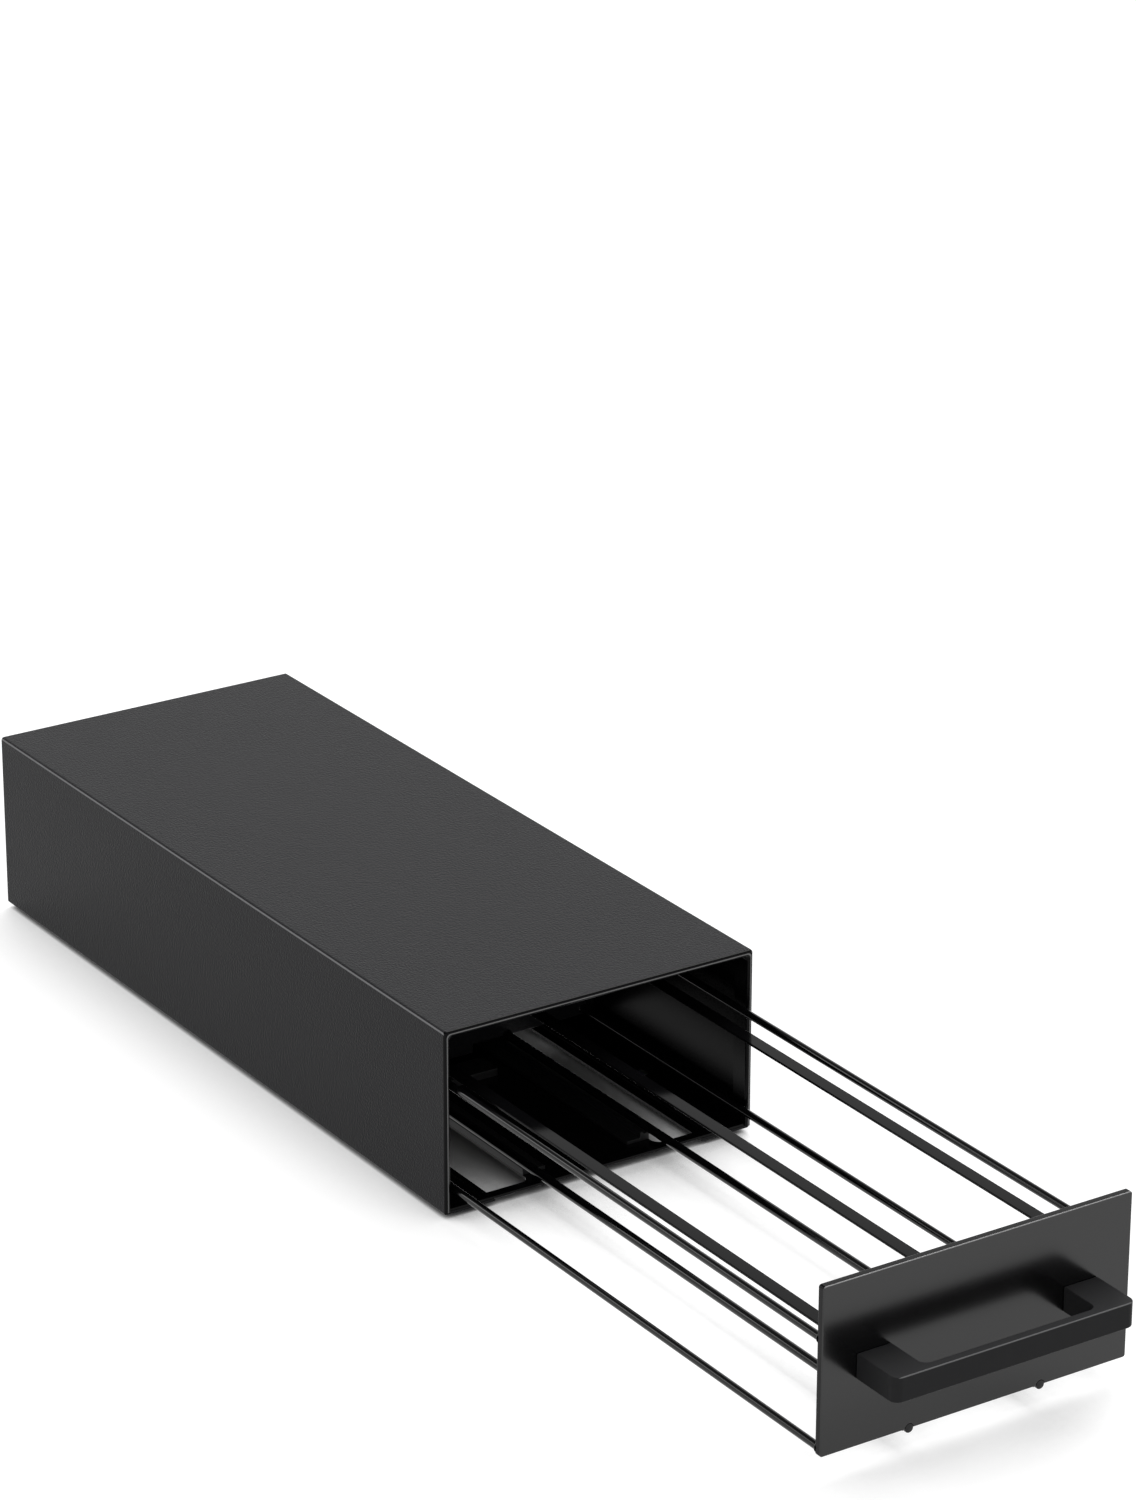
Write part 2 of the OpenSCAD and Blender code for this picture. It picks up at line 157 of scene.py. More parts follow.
@dataclass(frozen=True)
class Finish:
    """What every surface finish has: its slot in the record, its two shades and its gloss.

    The colour wanders between the two shades and the roughness around its middle on one slow
    noise, as a coat does whose film is nowhere quite as thick. Where a piece marks its points,
    a painted highlight is laid on: the colour is drawn lighter and the coat smoother. Grain and
    peel are a size and a depth.
    """

    name: str
    slot: str
    dark: str
    light: str
    roughness: float
    spread: float
    specular: float
    mottle_mm: float
    grain_mm: tuple[float, float]
    peel_mm: tuple[float, float]
    ior: float = 1.5
    metallic: float = 0.0
    highlight_colour: str | None = None
    highlight_roughness: float = 0.3

    def material(self) -> Material:
        """Makes the finish's material, or returns the one that was made before."""
        known = bpy.data.materials.get(self.name)
        if known:
            return known
        made = bpy.data.materials.new(self.name)
        tree = empty_tree(made)
        place = add_node(tree, "TexCoord").outputs["Object"]
        slow = {"Scale": per_metre(self.mottle_mm), "Detail": 4.0, "Roughness": 0.6}
        mottle = add_node(tree, "TexNoise", slow, {"Vector": place}).outputs["Fac"]
        # A Mix node's colours are inputs 6 and 7, and its plain values 2 and 3
        shades = {"data_type": "RGBA", 6: linear(self.dark), 7: linear(self.light)}
        shade = add_node(tree, "Mix", shades, {0: mottle}).outputs[2]
        gloss = {"To Min": self.roughness - self.spread, "To Max": self.roughness + self.spread}
        rough = add_node(tree, "MapRange", gloss, {"Value": mottle}).outputs["Result"]
        # Painted highlight: lighter colour and smoother coat where a piece marks its points
        if self.highlight_colour:
            painted_highlight = add_node(tree, "Attribute", {"attribute_name": HIGHLIGHT_MARK}).outputs["Fac"]
            highlit = {"data_type": "RGBA", 7: linear(self.highlight_colour)}
            shade = add_node(tree, "Mix", highlit, {0: painted_highlight, 6: shade}).outputs[2]
            smoothed = {"data_type": "FLOAT", 3: self.highlight_roughness}
            rough = add_node(tree, "Mix", smoothed, {0: painted_highlight, 2: rough}).outputs[0]
        shader = add_node(
            tree, "BsdfPrincipled",
            {"Metallic": self.metallic, "IOR": self.ior, "Specular IOR Level": self.specular},
            {"Base Color": shade, "Roughness": rough, "Normal": self.relief(tree, place)},
        )
        add_node(tree, "OutputMaterial", None, {"Surface": shader.outputs["BSDF"]})
        return made

    def relief(self, tree: NodeTree, place: NodeSocket) -> NodeSocket:
        """Adds the surface's relief: a fine grain on a slower waviness.

        Args:
            tree: the material's tree.
            place: the coordinates that the pattern follows.
        Returns:
            The normal that the relief gives.
        """
        normal = None
        for size, depth in (self.peel_mm, self.grain_mm):
            pattern = {"Scale": per_metre(size), "Detail": 2.0}
            height = add_node(tree, "TexNoise", pattern, {"Vector": place}).outputs["Fac"]
            links = {"Height": height} if normal is None else {"Height": height, "Normal": normal}
            bump = {"Strength": 1.0, "Distance": depth * MM}
            normal = add_node(tree, "Bump", bump, links).outputs["Normal"]
        return normal


# Powder coat with a fine texture, baked on sheet steel: satin, near black. Its grain shows as
# specks on a face that is seen at a slant, and is drawn twice as coarse as the real 0.4 mm.
# Its light colour is a painted highlight on the side's half of the upper bends and on the rear
# plate's top edge.
TEXTURED_COAT = Finish(
    name="fine_texture_powder_coat", slot="housing_paint", dark="252527", light="2a2a2c",
    roughness=0.35, spread=0.03, specular=0.08,
    mottle_mm=9.0, grain_mm=(0.8, 0.25), peel_mm=(3.0, 0.02), highlight_colour="9a9a9c",
)
# A darker copy of the same coat, smooth and black: painted shade inside the housing, on the tray,
# on the rolled rim and on the rear plate's cut edges. Its light colour is a painted highlight, a
# hairline along the rim's foremost edge.
SHADED_COAT = Finish(
    name="shaded_powder_coat", slot="housing_paint", dark="060607", light="080809",
    roughness=0.25, spread=0.02, specular=0.12,
    mottle_mm=9.0, grain_mm=(1.2, 0.001), peel_mm=(3.0, 0.002), highlight_colour="b0b0b0", highlight_roughness=0.25,
)
# Smooth satin powder coat: black, flat enough to mirror what is near it softly. Its light colour
# is a painted highlight along the front plate's top front edge.
SATIN_COAT = Finish(
    name="satin_powder_coat", slot="plate_paint", dark="0a0a0b", light="0d0d0e",
    roughness=0.2, spread=0.015, specular=0.65,
    mottle_mm=14.0, grain_mm=(0.5, 0.0006), peel_mm=(2.2, 0.001), highlight_colour="a4a4a5", highlight_roughness=0.16,
)
# The same coat on the plate's cut edges, from which it creeps back, so that it is thin and dull.
EDGE_COAT = replace(SATIN_COAT, name="satin_powder_coat_on_edges", specular=0.14)
# Matte powder coat on the handle: even, with a weak broad shine. Its light colour is a painted
# highlight along the top front edge.
MATTE_COAT = Finish(
    name="matte_powder_coat", slot="handle_paint", dark="323233", light="373738",
    roughness=0.4, spread=0.02, specular=0.06,
    mottle_mm=7.0, grain_mm=(0.4, 0.0015), peel_mm=(2.0, 0.0015), highlight_colour="7c7c7d", highlight_roughness=0.22,
)
# Dip coat on the strips: black, smooth enough to mirror what is above, with slow runs.
DIP_COAT = Finish(
    name="dipped_enamel", slot="wire_paint", dark="070708", light="0b0b0c",
    roughness=0.1, spread=0.02, specular=0.08,
    mottle_mm=11.0, grain_mm=(1.5, 0.0002), peel_mm=(7.0, 0.002),
)
# The same dip coat on the round wires, off which it drains evenly, so that it dries glossier.
WIRE_COAT = replace(DIP_COAT, name="dipped_enamel_on_wire", specular=0.4)
# Injection moulded nylon from a spark-eroded mould: dull black with a faint even tooth.
MOULDED_NYLON = Finish(
    name="moulded_nylon", slot="nylon", dark="121213", light="171718",
    roughness=0.48, spread=0.04, specular=0.4, ior=1.53,
    mottle_mm=5.0, grain_mm=(0.3, 0.006), peel_mm=(4.0, 0.004),
)
# Die-cut rubber: the dullest surface, with fine talc specks.
DULL_RUBBER = Finish(
    name="die_cut_rubber", slot="rubber", dark="0d0d0d", light="171716",
    roughness=0.8, spread=0.08, specular=0.3, ior=1.52,
    mottle_mm=1.2, grain_mm=(0.35, 0.01), peel_mm=(3.0, 0.01),
)
# Bright zinc plate on steel: a blue-grey metal with a soft milky bloom.
ZINC_PLATE = Finish(
    name="bright_zinc_plate", slot="fastener_steel", dark="9a9da1", light="b9bcbf",
    roughness=0.34, spread=0.07, specular=0.5, metallic=1.0,
    mottle_mm=1.6, grain_mm=(0.25, 0.002), peel_mm=(1.5, 0.002),
)


# ---- Modelling ----


@dataclass
class Stop:
    """A point on a path.

    Args:
        at: the point.
        radius: of the round corner there, or 0 for a sharp one.
        centre: the centre of the arc that leads to the point, or None for a straight run.
        turn: the arc's angle, about an axis that points back.
    """

    at: Vector
    radius: float = 0.0
    centre: Vector | None = None
    turn: float = 0.0


def in_xz(y: float) -> Callable[..., Stop]:
    """Returns a maker of stops in the plane at y, from x, z and a corner radius."""
    return lambda x, z, radius=0.0: Stop(Vector((x, y, z)), radius)


def in_xy(z: float) -> Callable[..., Stop]:
    """Returns a maker of stops in the plane at z, from x, y and a corner radius."""
    return lambda x, y, radius=0.0: Stop(Vector((x, y, z)), radius)


def in_yz(x: float) -> Callable[..., Stop]:
    """Returns a maker of stops in the plane at x, from y, z and a corner radius."""
    return lambda y, z, radius=0.0: Stop(Vector((x, y, z)), radius)


def rectangle(
    at: Callable[..., Stop], a0: float, b0: float, a1: float, b1: float, radius: float = 0.0
) -> list[Stop]:
    """Lists the stops of a rectangle between the corners a0, b0 and a1, b1 in a maker's plane."""
    return [at(a, b, radius) for a, b in ((a0, b0), (a1, b0), (a1, b1), (a0, b1))]


def lies_across(axis: Vector) -> Callable[[BMEdge], bool]:
    """Returns a test that says of an edge whether it is square to an axis."""
    return lambda edge: abs((edge.verts[0].co - edge.verts[1].co).dot(axis)) < SAME


def only(kind: type, found: Iterable) -> list:
    """Picks one kind, such as BMVert, out of what an operator returns."""
    return [element for element in found if isinstance(element, kind)]


class Shape:
    """A mesh in the making, in millimetres."""

    def __init__(self, steps: int = 5) -> None:
        """Starts an empty mesh, each of whose round corners takes so many steps."""
        self.bm = bmesh.new()
        self.steps = steps

    def path(self, stops: Sequence[Stop], closed: bool = True) -> list[BMEdge]:
        """Draws a line through stops and rounds its corners.

        Args:
            stops: the points in order.
            closed: whether the line returns to its start.
        Returns:
            The line's edges.
        """
        before = set(self.bm.edges)
        first = last = self.bm.verts.new(stops[0].at)
        corners = [(first, stops[0].radius)]
        for stop in stops[1:]:
            if stop.centre is not None:
                swung = bmesh.ops.spin(
                    self.bm, geom=[last], cent=stop.centre, axis=BACK, angle=stop.turn,
                    steps=2 * self.steps,
                )
                last = only(BMVert, swung["geom_last"])[0]
                continue
            here = self.bm.verts.new(stop.at)
            self.bm.edges.new((last, here))
            corners.append((here, stop.radius))
            last = here
        if closed:
            self.bm.edges.new((last, first))
        for corner, radius in corners:
            if radius > 0:
                bmesh.ops.bevel(
                    self.bm, geom=[corner], offset=radius, offset_type="OFFSET",
                    segments=self.steps, profile=0.5, affect="VERTICES", material=-1,
                )
        return [edge for edge in self.bm.edges if edge not in before]

    def fill(self, *loops: Sequence[BMEdge]) -> list[BMFace]:
        """Fills a flat outline, leaving out any loops that lie inside it."""
        if len(loops) == 1:
            return bmesh.ops.edgeloop_fill(self.bm, edges=loops[0])["faces"]
        edges = [edge for loop in loops for edge in loop]
        made = bmesh.ops.triangle_fill(self.bm, use_beauty=True, use_dissolve=True, edges=edges)
        return only(BMFace, made["geom"])

    def extrude(self, faces: Iterable[BMFace], by: Vector) -> list[BMFace]:
        """Pulls faces into a solid.

        Args:
            faces: what is pulled.
            by: how far and which way.
        Returns:
            The faces at the far end.
        """
        start = list(faces)
        inside = set(start)
        goes_on = any(f not in inside for face in start for e in face.edges for f in e.link_faces)
        pulled = bmesh.ops.extrude_face_region(self.bm, geom=start)["geom"]
        bmesh.ops.translate(self.bm, vec=by, verts=only(BMVert, pulled))
        left = [face for face in start if face.is_valid]
        if goes_on and left:
            # The solid goes on from here, so no face stays across its inside
            bmesh.ops.delete(self.bm, geom=left, context="FACES_ONLY")
        return only(BMFace, pulled)

    def pull(self, edges: Iterable[BMEdge], by: Vector) -> None:
        """Pulls edges into a sheet."""
        pulled = bmesh.ops.extrude_edge_only(self.bm, edges=list(edges))["geom"]
        bmesh.ops.translate(self.bm, vec=by, verts=only(BMVert, pulled))

    def prism(self, stops: Sequence[Stop], by: Vector) -> None:
        """Draws a closed outline and pulls it into a solid."""
        self.extrude(self.fill(self.path(stops)), by)

    def turned(
        self, profile: Iterable[tuple[float, float]], at: Vector, axis: Vector, steps: int = 24
    ) -> None:
        """Turns a profile round an axis.

        Args:
            profile: pairs of radius and height along the axis, from one end to the other.
            at: where height 0 lies on the axis.
            axis: the axis, a unit vector.
            steps: how many faces go round.
        """
        side = axis.orthogonal().normalized()
        verts = [self.bm.verts.new(at + side * radius + axis * height) for radius, height in profile]
        edges = [self.bm.edges.new(pair) for pair in zip(verts, verts[1:])]
        bmesh.ops.spin(
            self.bm, geom=verts + edges, cent=at, axis=axis, angle=math.tau, steps=steps, use_merge=True
        )
        self.weld()

    def weld(self) -> None:
        """Merges points that lie in one place and turns all faces outwards."""
        bmesh.ops.remove_doubles(self.bm, verts=self.bm.verts[:], dist=SAME)
        bmesh.ops.recalc_face_normals(self.bm, faces=self.bm.faces[:])

    def soften(
        self, width: float, segments: int = 2, where: Callable[[BMEdge], bool] | None = None
    ) -> None:
        """Rounds the sharp edges.

        Args:
            width: of the rounding.
            segments: how many faces it has.
            where: says of an edge whether it is rounded, or None for every sharp edge.
        """
        self.weld()
        sharp = [
            edge for edge in self.bm.edges
            if len(edge.link_faces) == 2 and edge.calc_face_angle() > SHARP_ABOVE
            and (where is None or where(edge))
        ]
        bmesh.ops.bevel(
            self.bm, geom=sharp, offset=width, offset_type="OFFSET", segments=segments, profile=0.5,
            affect="EDGES", material=-1, clamp_overlap=True,
        )

    def rub(self, is_highlit: Callable[[Vector], bool]) -> None:
        """Marks the points that carry a painted highlight, as the given test says of each place."""
        layer = self.bm.verts.layers.float.new(HIGHLIGHT_MARK)
        for vert in self.bm.verts:
            vert[layer] = float(is_highlit(vert.co))

    def finish(
        self, name: str, finish: Finish, body: Body, nodes: Sequence[str],
        trim: Finish | None = None, is_trim: Callable[[Vector], bool] | None = None,
    ) -> None:
        """Makes the mesh a piece of the scene.

        Args:
            name: the piece's name.
            finish: its surface.
            body: the body it moves with.
            nodes: the CAD nodes it stands for.
            trim: a second surface, or None.
            is_trim: says of the middle of a face whether it has the second surface.
        """
        self.weld()
        for face in self.bm.faces:
            face.smooth = True
            face.material_index = int(is_trim is not None and is_trim(face.calc_center_median()))
        for edge in self.bm.edges:
            edge.smooth = len(edge.link_faces) == 2 and edge.calc_face_angle() < SMOOTH_BELOW
        bmesh.ops.scale(self.bm, vec=(MM, MM, MM), verts=self.bm.verts[:])
        mesh = bpy.data.meshes.new(name)
        self.bm.to_mesh(mesh)
        self.bm.free()
        piece = add_object(name, mesh)
        for surface in (finish, trim):
            if surface is not None:
                mesh.materials.append(surface.material())
        # Flat faces keep their flat shading, and the rounded edges carry the turn
        even = piece.modifiers.new("even_shading", "WEIGHTED_NORMAL")
        even.keep_sharp = True
        even.weight = 100
        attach(piece, body.value)
        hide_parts(*nodes)
        LOG.info("%s: %d faces, on the %s, finish %s", name, len(mesh.polygons), body.value, finish.name)


@dataclass(frozen=True)
class Box:
    """A CAD node's lowest and highest corners, in millimetres."""

    low: Vector
    high: Vector

    @classmethod
    def of(cls, node: str) -> "Box":
        """Reads a node's box from the imported model."""
        low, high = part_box(node)
        return cls(low / MM, high / MM)

    @property
    def mid(self) -> Vector:
        """The middle of the box."""
        return (self.low + self.high) / 2


# ---- Housing ----


@dataclass
class Housing:
    """The folded sheet housing with its tray, back panel, rails, stop, bumpers and feet."""

    sheet_t: float = 1.0
    bend_r: float = 1.2
    bend_in_r: float = 0.2
    cut_r: float = 0.12
    hem_gap: float = 0.4
    hem_d: float = 9.0
    hem_corner_r: float = 2.2
    hem_rise_d: float = 0.05
    nose_steps: int = 12
    # Where the painted highlight lies: how far behind the rim's front, and between which angles of a bend
    nose_highlight_d: float = 0.01
    bend_highlight: tuple[float, float] = (10.0, 35.0)
    flange_w: float = 22.3
    foot_h: float = 2.0
    foot_corner_r: float = 2.0
    foot_border: float = 1.6
    foot_dish_w: float = 0.5
    foot_dish_d: float = 0.35
    foot_edge_r: float = 0.3
    slot_r: float = 3.5
    slot_in_x: float = 28.5
    slot_out_x: float = 50.0
    slots: int = 2
    front_strip: float = 4.2
    cross_strip: float = 22.0
    back_flange_d: float = 7.0
    back_flange_inset: float = 1.2
    rivet_inset: float = 60.0
    rivets: int = 3
    rivet_x: float = 58.7
    # Radius, and height above the head's low end
    rivet_head: Profile = ((0.0, 0.0), (1.6, 0.1), (2.6, 0.35), (3.1, 0.7), (3.2, 1.0), (1.6, 1.0))
    # Radius, and depth below the top
    rivet_upset: Profile = ((1.6, 0.7), (2.4, 0.7), (2.35, 0.35), (1.9, 0.08), (0.0, 0.0))
    rail_flange_w: float = 6.0
    rail_flange_t: float = 1.5
    rail_lip_t: float = 1.4
    rail_top: float = 6.95
    rail_edge_r: float = 0.4
    rail_root_r: float = 0.5
    rail_step_r: float = 0.25
    rail_end_r: float = 0.3
    pegs: int = 3
    peg_inset: float = 15.0
    peg_r: float = 1.4
    # Radius, and height above the tray's underside
    peg_head: Profile = ((0.0, -0.8), (1.38, -0.8), (2.116, -0.56), (2.3, -0.25), (2.208, 0.0))
    peg_steps: int = 20
    stop_peg_x: float = 5.5
    stop_corner_r: float = 1.0
    stop_edge_r: float = 0.4
    # Radius, and depth below the bumper's face
    bumper_dimple: Profile = ((0.0, 0.9), (1.2, 0.8), (1.7, 0.1), (2.2, 0.0))
    # Distance inside the bumper's side, and depth below its face
    bumper_edge: Profile = ((2.2, 0.05), (0.9, 0.45), (0.25, 1.2), (0.0, 2.2))
    bumper_steps: int = 32

    def __post_init__(self) -> None:
        """Reads the places of the housing's own nodes."""
        self.shell = Box.of("housing_shell")
        self.tray = Box.of("bottom_tray")
        self.half_w = self.shell.high.x
        self.y_front, self.y_back = self.shell.low.y, self.shell.high.y
        self.z_base, self.z_top = self.foot_h, self.shell.high.z
        self.z_floor = self.tray.high.z
        self.hem_t = 2 * self.sheet_t + self.hem_gap
        self.nose_r = self.hem_t / 2

    def build(self) -> None:
        """Makes every piece of the housing."""
        self.make_shell()
        self.make_tray()
        self.make_back()
        self.make_rivets()
        for side in Side:
            self.make_rail(side)
            self.make_bumper(side)
            for end in ("front", "rear"):
                self.make_foot(side, end)
        self.make_stop()

    def rim_rows(self) -> list[tuple[float, float, float, float]]:
        """Lists the sheet's section from the back edge round the folded rim and back inside.

        Returns:
            For each row its depth below the outside, corner radius, y and lower end.
        """
        z_low, z_hem = self.z_base + self.bend_r, self.z_floor
        y_nose, y_hem, y_back = self.y_front + self.nose_r, self.y_front + self.hem_d, self.y_back
        y_rise = y_nose + self.hem_rise_d
        sheet, layer, fold = self.sheet_t, self.sheet_t + self.hem_gap, self.hem_t
        outer, inner, corner = self.bend_r, self.bend_in_r, self.hem_corner_r
        cut, half_gap = self.cut_r, self.hem_gap / 2
        rows = [(0.0, outer, y_back - cut, z_low), (0.0, outer, y_nose, z_low)]
        for step in range(1, self.nose_steps):
            angle = math.pi * step / self.nose_steps
            depth = self.nose_r * (1 - math.cos(angle))
            radius = outer + (corner - outer) * depth / fold
            rows.append((depth, radius, y_nose - self.nose_r * math.sin(angle), z_low))
        return rows + [
            (fold, corner, y_nose, z_low),
            (fold, corner, y_rise, z_hem),
            (fold, corner, y_hem - cut, z_hem),
            (fold - cut, corner + cut, y_hem, z_hem),
            (layer + cut, corner + sheet - cut, y_hem, z_hem),
            (layer, corner + sheet, y_hem - cut, z_hem),
            (layer, corner + sheet, y_rise, z_hem),
            (layer - half_gap, outer, y_nose - half_gap, z_low),
            (sheet, inner, y_nose, z_low),
            (sheet, inner, y_back - cut, z_low),
            (sheet - cut, inner + cut, y_back, z_low),
            (cut, outer - cut, y_back, z_low),
        ]

    def make_shell(self) -> None:
        """Makes the top and sides as one sheet with its folded rim, then the flanges under them."""
        shape = Shape(steps=6)
        arches: list[list[BMEdge]] = []
        ends: dict[Side, list[BMVert]] = {side: [] for side in Side}
        for depth, corner, y, z_low in self.rim_rows():
            x, z, stop = self.half_w - depth, self.z_top - depth, in_xz(y)
            arch = shape.path(
                [stop(-x, z_low), stop(-x, z, corner), stop(x, z, corner), stop(x, z_low)], closed=False
            )
            arches.append(arch)
            tips = [v for e in arch for v in e.verts if len(v.link_edges) == 1]
            for side in Side:
                ends[side].append(max(tips, key=lambda v: v.co.x * side.value))
        for arch, following in zip(arches, arches[1:] + arches[:1]):
            bmesh.ops.bridge_loops(shape.bm, edges=arch + following)
        # The sheet alone, without the rim's fold, goes on round the lower bend into the flange
        for side in Side:
            ring = ends[side][-4:] + ends[side][:2]
            edges = [
                shape.bm.edges.get(pair) or shape.bm.edges.new(pair)
                for pair in zip(ring, ring[1:] + ring[:1])
            ]
            centre = Vector((side.value * (self.half_w - self.bend_r), 0, self.z_base + self.bend_r))
            swung = bmesh.ops.spin(
                shape.bm, geom=ring + edges, cent=centre, axis=BACK,
                angle=side.value * math.pi / 2, steps=shape.steps,
            )["geom_last"]
            shape.pull(only(BMEdge, swung), Vector((-side.value * (self.flange_w - self.bend_r), 0, 0)))
        open_edges = [edge for edge in shape.bm.edges if len(edge.link_faces) == 1]
        bmesh.ops.holes_fill(shape.bm, edges=open_edges, sides=0)
        # A painted highlight on the rim's nose and on the side's half of the upper bends
        shape.rub(self.is_shell_highlit)
        # The rim's nose and the inside take the darker coat: painted shade
        shape.finish(
            "shell_sheet", TEXTURED_COAT, Body.HOUSING, ["housing_shell"],
            trim=SHADED_COAT, is_trim=self.is_shell_shaded,
        )

    def is_shell_shaded(self, middle: Vector) -> bool:
        """Says whether the middle of a face lies on the rim's nose or inside the shell: painted shade
        there.
        """
        depth = min(self.half_w - abs(middle.x), self.z_top - middle.z, middle.z - self.z_base)
        return middle.y < self.y_front + self.nose_r or depth > self.sheet_t / 2

    def is_shell_highlit(self, place: Vector) -> bool:
        """Says whether a point has painted highlight: the rim's nose or the side's half of an upper bend.
        """
        if place.y < self.y_front + self.nose_highlight_d:
            return True
        across = abs(place.x) - (self.half_w - self.bend_r)
        up = place.z - (self.z_top - self.bend_r)
        low, high = self.bend_highlight
        outside = math.hypot(across, up) > self.bend_r - self.cut_r / 2
        return across > 0 and outside and low < math.degrees(math.atan2(up, across)) < high

    def make_tray(self) -> None:
        """Makes the tray, a flat sheet with long slots along both sides."""
        shape = Shape(steps=6)
        low, high = self.tray.low, self.tray.high
        at = in_xy(high.z - self.sheet_t)
        loops = [shape.path(rectangle(at, *low.xy, *high.xy))]
        pitch = (high.y - low.y - self.front_strip) / self.slots
        for side in Side:
            inner, outer = side.value * self.slot_in_x, side.value * self.slot_out_x
            for number in range(self.slots):
                y0 = low.y + self.front_strip + number * pitch
                y1 = y0 + pitch - self.cross_strip
                loops.append(shape.path(rectangle(at, inner, y0, outer, y1, self.slot_r)))
        shape.extrude(shape.fill(*loops), UP * self.sheet_t)
        shape.soften(self.cut_r)
        # The tray takes the darker coat: painted shade
        shape.finish("tray_sheet", SHADED_COAT, Body.HOUSING, ["bottom_tray"])

    def make_back(self) -> None:
        """Makes the back panel with a flange bent forward along each side."""
        shape = Shape(steps=4)
        low, high = Box.of("back_panel").low, Box.of("back_panel").high
        z_low, z_high = self.z_floor + self.back_flange_inset, high.z - self.back_flange_inset
        at, bend, y_edge = in_xy(z_low), self.bend_r, high.y - self.back_flange_d
        section = [at(low.x, y_edge), at(low.x, high.y, bend), at(high.x, high.y, bend), at(high.x, y_edge)]
        shape.pull(shape.path(section, closed=False), UP * (z_high - z_low))
        for z, rise in ((z_low, low.z - z_low), (z_high, high.z - z_high)):
            edges = [
                e for e in shape.bm.edges
                if all(abs(v.co.z - z) < SAME and abs(v.co.y - high.y) < SAME for v in e.verts)
            ]
            shape.pull(edges, UP * rise)
        faces = shape.bm.faces[:]
        bmesh.ops.recalc_face_normals(shape.bm, faces=faces)
        if max(faces, key=lambda f: f.calc_area()).normal.y < 0:
            bmesh.ops.reverse_faces(shape.bm, faces=faces)
        bmesh.ops.solidify(shape.bm, geom=faces, thickness=self.sheet_t)
        shape.soften(self.cut_r)
        shape.finish("back_sheet", TEXTURED_COAT, Body.HOUSING, ["back_panel"])

    def make_rivets(self) -> None:
        """Makes the rivets, each with a low domed head under the flange and an upset end on the tray."""
        shape = Shape()
        box = Box.of("tray_rivets")
        top = box.high.z - box.low.z
        profile = self.rivet_head + tuple((radius, top - depth) for radius, depth in self.rivet_upset)
        step = (self.y_back - self.y_front - 2 * self.rivet_inset) / (self.rivets - 1)
        for side in Side:
            for number in range(self.rivets):
                y = self.y_front + self.rivet_inset + number * step
                shape.turned(profile, Vector((side.value * self.rivet_x, y, box.low.z)), UP)
        shape.finish("tray_rivet_heads", ZINC_PLATE, Body.HOUSING, ["tray_rivets"])

    def add_peg(self, shape: Shape, x: float, y: float) -> None:
        """Adds a peg that goes down through the tray to its staked head."""
        shank = ((self.peg_r, 0.0), (self.peg_r, self.sheet_t), (0.0, self.sheet_t))
        at = Vector((x, y, self.z_floor - self.sheet_t))
        shape.turned(self.peg_head + shank, at, UP, steps=self.peg_steps)

    def make_rail(self, side: Side) -> None:
        """Makes a guide rail: a bearing strip under the wire, a lip beside it and a pegged flange."""
        shape = Shape(steps=3)
        node = f"guide_rail_{side.word}"
        box = Box.of(node)
        inner, outer = sorted((abs(box.low.x), abs(box.high.x)))
        lip = inner + self.rail_flange_w
        lip_end, flange, top = lip + self.rail_lip_t, self.z_floor + self.rail_flange_t, self.rail_top
        at, edge = in_xz(box.low.y), self.rail_edge_r
        outline = [
            (inner, self.z_floor, 0.0), (inner, flange, edge), (lip, flange, self.rail_root_r),
            (lip, box.high.z, edge), (lip_end, box.high.z, edge), (lip_end, top, self.rail_step_r),
            (outer, top, edge), (outer, self.z_floor, 0.0),
        ]
        outline = [at(side.value * x, z, radius) for x, z, radius in outline]
        shape.prism(outline, BACK * (box.high.y - box.low.y))
        shape.soften(self.rail_end_r, where=lies_across(BACK))
        first, last = box.low.y + self.peg_inset, box.high.y - self.peg_inset
        for number in range(self.pegs):
            y = first + number * (last - first) / (self.pegs - 1)
            self.add_peg(shape, side.value * (lip - self.rail_flange_w / 2), y)
        shape.finish(f"rail_{side.word}_moulding", MOULDED_NYLON, Body.HOUSING, [node])

    def make_stop(self) -> None:
        """Makes the stop block that the drawer's tongue meets."""
        shape = Shape(steps=4)
        box = Box.of("stop_block")
        shape.prism(
            rectangle(in_xy(self.z_floor), *box.low.xy, *box.high.xy, self.stop_corner_r),
            UP * (box.high.z - self.z_floor),
        )
        low_end = self.z_floor + NEAR
        shape.soften(self.stop_edge_r, where=lambda e: min(v.co.z for v in e.verts) > low_end)
        for sign in (-1, 1):
            self.add_peg(shape, sign * self.stop_peg_x, box.mid.y)
        shape.finish("stop_moulding", MOULDED_NYLON, Body.HOUSING, ["stop_block"])

    def make_bumper(self, side: Side) -> None:
        """Makes a rubber bumper with a domed face and a dimple in its middle."""
        shape = Shape()
        node = f"bumper_{side.word}"
        box = Box.of(node)
        radius, thick = (box.high.x - box.low.x) / 2, box.high.y - box.low.y
        profile = [(r, thick - depth) for r, depth in self.bumper_dimple]
        profile += [(radius - inside, thick - depth) for inside, depth in self.bumper_edge]
        profile += [(radius, 0.0), (0.0, 0.0)]
        at = Vector((box.mid.x, box.high.y, box.mid.z))
        shape.turned(profile, at, -BACK, steps=self.bumper_steps)
        shape.finish(f"{node}_pad", DULL_RUBBER, Body.HOUSING, [node])

    def make_foot(self, side: Side, end: str) -> None:
        """Makes a rubber foot: a rounded pad whose underside is dished inside a narrow border."""
        shape = Shape(steps=5)
        node = f"foot_{end}_{side.word}"
        low, high = Box.of(node).low, Box.of(node).high
        shape.prism(rectangle(in_xy(low.z), *low.xy, *high.xy, self.foot_corner_r), UP * (high.z - low.z))
        shape.weld()
